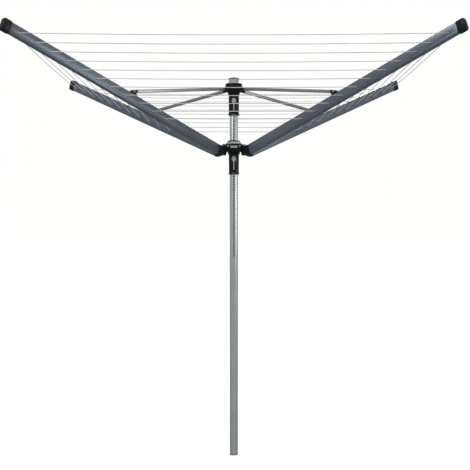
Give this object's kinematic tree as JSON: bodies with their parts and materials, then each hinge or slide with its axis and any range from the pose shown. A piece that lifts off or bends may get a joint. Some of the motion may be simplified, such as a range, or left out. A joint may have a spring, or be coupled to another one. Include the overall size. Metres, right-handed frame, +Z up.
{
  "type": "rotary clothesline",
  "caption": "Rotary clothesline: mast with two sliding, turning hubs, arms on struts that fold up like an umbrella, and one line threaded through the arms.",
  "frame": {"origin": "centre of the mast's foot, on its lower face", "axes": "+Z up the mast, -Y the side that the levers and the latch holes face, arms at 45 degrees to X and Y"},
  "size_m": [2.1206, 2.1206, 2.1875],
  "materials": {
    "galvanised_tube": "satin galvanised",
    "black_plastic": "fine moulded texture",
    "cap_grey": "satin moulded",
    "silver_plastic": "satin silver",
    "inlay_grey": "satin",
    "bright_steel": "zinc plated",
    "line_cord": "ribbed plastic skin",
    "arm_coating": "powder coated",
    "strut_coating": "powder coated"
  },
  "bodies": {
    "mast": {"mast_tube": "galvanised_tube", "mast_foot_plug": "black_plastic", "mast_cap": "cap_grey"},
    "upper_slider": {"upper_sleeve": "black_plastic", "upper_neck": "silver_plastic", "upper_lever_pin": "bright_steel", "upper_lever_spring": "bright_steel"},
    "upper_lever": {"upper_lever": "black_plastic", "upper_lever_inlay": "inlay_grey"},
    "upper_latch": {"upper_latch": "bright_steel"},
    "crown": {"crown": "black_plastic"},
    "carrier": {"arm_carrier": "black_plastic", "carrier_collar": "silver_plastic", "carrier_plate": "silver_plastic", "arm_pin_1": "bright_steel", "arm_pin_2": "bright_steel", "arm_pin_3": "bright_steel", "arm_pin_4": "bright_steel", "clothesline": "line_cord"},
    "lower_slider": {"lower_sleeve": "black_plastic", "lower_lever_pin": "bright_steel", "lower_lever_spring": "bright_steel"},
    "lower_lever": {"lower_lever": "black_plastic", "lower_lever_inlay": "inlay_grey"},
    "lower_latch": {"lower_latch": "bright_steel"},
    "arm_1": {"arm_tube_1": "arm_coating", "arm_fitting_1": "black_plastic", "arm_cap_1": "black_plastic", "strut_bracket_1": "black_plastic", "strut_pin_1": "bright_steel"},
    "strut_1": {"strut_tube_1": "strut_coating", "strut_foot_1": "black_plastic", "strut_head_1": "black_plastic"},
    "arm_2": {"arm_tube_2": "arm_coating", "arm_fitting_2": "black_plastic", "arm_cap_2": "black_plastic", "strut_bracket_2": "black_plastic", "strut_pin_2": "bright_steel"},
    "strut_2": {"strut_tube_2": "strut_coating", "strut_foot_2": "black_plastic", "strut_head_2": "black_plastic"},
    "arm_3": {"arm_tube_3": "arm_coating", "arm_fitting_3": "black_plastic", "arm_cap_3": "black_plastic", "strut_bracket_3": "black_plastic", "strut_pin_3": "bright_steel"},
    "strut_3": {"strut_tube_3": "strut_coating", "strut_foot_3": "black_plastic", "strut_head_3": "black_plastic"},
    "arm_4": {"arm_tube_4": "arm_coating", "arm_fitting_4": "black_plastic", "arm_cap_4": "black_plastic", "strut_bracket_4": "black_plastic", "strut_pin_4": "bright_steel", "line_knot_outer": "line_cord", "line_knot_inner": "line_cord"},
    "strut_4": {"strut_tube_4": "strut_coating", "strut_foot_4": "black_plastic", "strut_head_4": "black_plastic"}
  },
  "joints": [
    {"name": "height", "type": "slide", "parent": "mast", "child": "upper_slider", "axis": [0, 0, -1], "range_m": [0, 0.43]},
    {"name": "upper_lever_pull", "type": "hinge", "parent": "upper_slider", "child": "upper_lever", "pos_m": [0, -0.0355, 1.9381], "axis": [-1, 0, 0], "range_deg": [0, 12], "stiffness_Nm_per_rad": 1.5, "springref_deg": -5.73, "deforming": ["upper_lever_spring"]},
    {"name": "upper_latch_draw", "type": "slide", "parent": "upper_slider", "child": "upper_latch", "axis": [0, -1, 0], "range_m": [0, 0.006]},
    {"name": "head_spin", "type": "hinge", "parent": "upper_slider", "child": "crown", "pos_m": [0, 0, 2.014], "axis": [0, 0, 1], "continuous": true},
    {"name": "fold", "type": "slide", "parent": "crown", "child": "carrier", "axis": [0, 0, -1], "range_m": [0, 1.0346], "deforming": ["clothesline"]},
    {"name": "lower_swivel", "type": "hinge", "parent": "carrier", "child": "lower_slider", "pos_m": [0, 0, 1.66], "axis": [0, 0, 1], "continuous": true},
    {"name": "lower_lever_pull", "type": "hinge", "parent": "lower_slider", "child": "lower_lever", "pos_m": [0, -0.0355, 1.6235], "axis": [-1, 0, 0], "range_deg": [0, 12], "stiffness_Nm_per_rad": 1.5, "springref_deg": -5.73, "deforming": ["lower_lever_spring"]},
    {"name": "lower_latch_draw", "type": "slide", "parent": "lower_slider", "child": "lower_latch", "axis": [0, -1, 0], "range_m": [0, 0.006]},
    {"name": "arm_1_lift", "type": "hinge", "parent": "carrier", "child": "arm_1", "pos_m": [0.04384, 0.04384, 1.681], "axis": [0.7071, -0.7071, 0], "range_deg": [0, 65.8]},
    {"name": "strut_1_fold", "type": "hinge", "parent": "arm_1", "child": "strut_1", "pos_m": [0.50306, 0.50306, 1.91995], "axis": [-0.7071, 0.7071, 0], "range_deg": [0, 144.95]},
    {"name": "arm_2_lift", "type": "hinge", "parent": "carrier", "child": "arm_2", "pos_m": [-0.04384, 0.04384, 1.681], "axis": [0.7071, 0.7071, 0], "range_deg": [0, 65.8]},
    {"name": "strut_2_fold", "type": "hinge", "parent": "arm_2", "child": "strut_2", "pos_m": [-0.50306, 0.50306, 1.91995], "axis": [-0.7071, -0.7071, 0], "range_deg": [0, 144.95]},
    {"name": "arm_3_lift", "type": "hinge", "parent": "carrier", "child": "arm_3", "pos_m": [-0.04384, -0.04384, 1.681], "axis": [-0.7071, 0.7071, 0], "range_deg": [0, 65.8]},
    {"name": "strut_3_fold", "type": "hinge", "parent": "arm_3", "child": "strut_3", "pos_m": [-0.50306, -0.50306, 1.91995], "axis": [0.7071, -0.7071, 0], "range_deg": [0, 144.95]},
    {"name": "arm_4_lift", "type": "hinge", "parent": "carrier", "child": "arm_4", "pos_m": [0.04384, -0.04384, 1.681], "axis": [-0.7071, -0.7071, 0], "range_deg": [0, 65.8]},
    {"name": "strut_4_fold", "type": "hinge", "parent": "arm_4", "child": "strut_4", "pos_m": [0.50306, -0.50306, 1.91995], "axis": [0.7071, 0.7071, 0], "range_deg": [0, 144.95]}
  ],
  "couplings": [
    {"joint": "upper_latch_draw", "follows": "upper_lever_pull", "m_per_rad": 0.02626},
    {"joint": "lower_latch_draw", "follows": "lower_lever_pull", "m_per_rad": 0.02626},
    {"joint": "lower_swivel", "follows": "head_spin", "ratio": -1},
    {"joint": "arm_1_lift", "follows": "fold", "rad_per_m": 1.11},
    {"joint": "strut_1_fold", "follows": "fold", "rad_per_m": 2.4452},
    {"joint": "arm_2_lift", "follows": "fold", "rad_per_m": 1.11},
    {"joint": "strut_2_fold", "follows": "fold", "rad_per_m": 2.4452},
    {"joint": "arm_3_lift", "follows": "fold", "rad_per_m": 1.11},
    {"joint": "strut_3_fold", "follows": "fold", "rad_per_m": 2.4452},
    {"joint": "arm_4_lift", "follows": "fold", "rad_per_m": 1.11},
    {"joint": "strut_4_fold", "follows": "fold", "rad_per_m": 2.4452}
  ]
}
